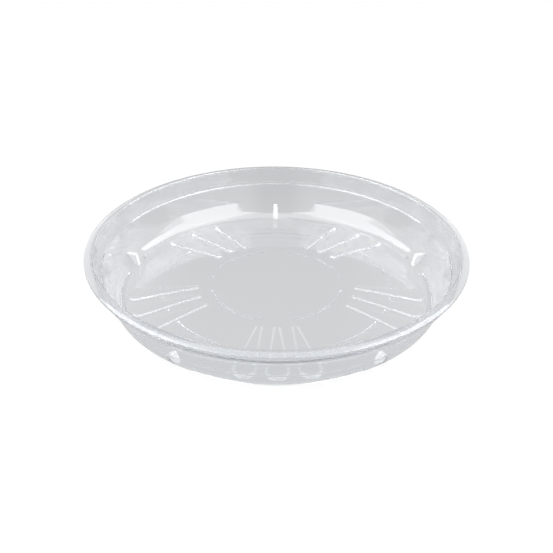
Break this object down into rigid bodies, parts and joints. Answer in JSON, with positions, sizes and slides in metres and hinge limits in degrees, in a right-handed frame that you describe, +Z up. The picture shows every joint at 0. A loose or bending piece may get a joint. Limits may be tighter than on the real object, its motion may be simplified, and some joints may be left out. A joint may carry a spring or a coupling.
{
  "type": "plant saucer",
  "caption": "Round clear plastic plant saucer with a stepped drooping rim, flared wall and domed floor with pressed teardrop pads, which catches the water under a plant pot.",
  "frame": {"origin": "on the axis of the saucer, in the plane of its feet", "axes": "+Z up along the axis, -Y towards the front group of pads, +Y towards the round insert mark"},
  "size_m": [0.25, 0.25, 0.0364],
  "materials": {
    "clear_plastic": "clear gloss, very slightly grey"
  },
  "bodies": {
    "root": {"floor_pan": "clear_plastic", "side_wall": "clear_plastic", "rim_ledge": "clear_plastic", "rim_collar": "clear_plastic", "rim_lip": "clear_plastic", "middle_ring_rib": "clear_plastic", "insert_mark": "clear_plastic", "petal_pad_01": "clear_plastic", "petal_pad_02": "clear_plastic", "petal_pad_03": "clear_plastic", "petal_pad_04": "clear_plastic", "petal_pad_05": "clear_plastic", "petal_pad_06": "clear_plastic", "petal_pad_07": "clear_plastic", "petal_pad_08": "clear_plastic", "petal_pad_09": "clear_plastic", "petal_pad_10": "clear_plastic", "petal_pad_11": "clear_plastic", "petal_pad_12": "clear_plastic", "petal_pad_13": "clear_plastic", "petal_pad_14": "clear_plastic", "petal_pad_15": "clear_plastic", "inner_ring_rib_01": "clear_plastic", "inner_ring_rib_02": "clear_plastic", "inner_ring_rib_03": "clear_plastic", "inner_ring_rib_04": "clear_plastic", "foot_rib_01": "clear_plastic", "foot_rib_02": "clear_plastic", "foot_rib_03": "clear_plastic", "foot_rib_04": "clear_plastic", "foot_rib_05": "clear_plastic", "wall_lug_01": "clear_plastic", "wall_lug_02": "clear_plastic", "wall_lug_03": "clear_plastic", "wall_lug_04": "clear_plastic", "wall_lug_05": "clear_plastic"}
  },
  "joints": []
}
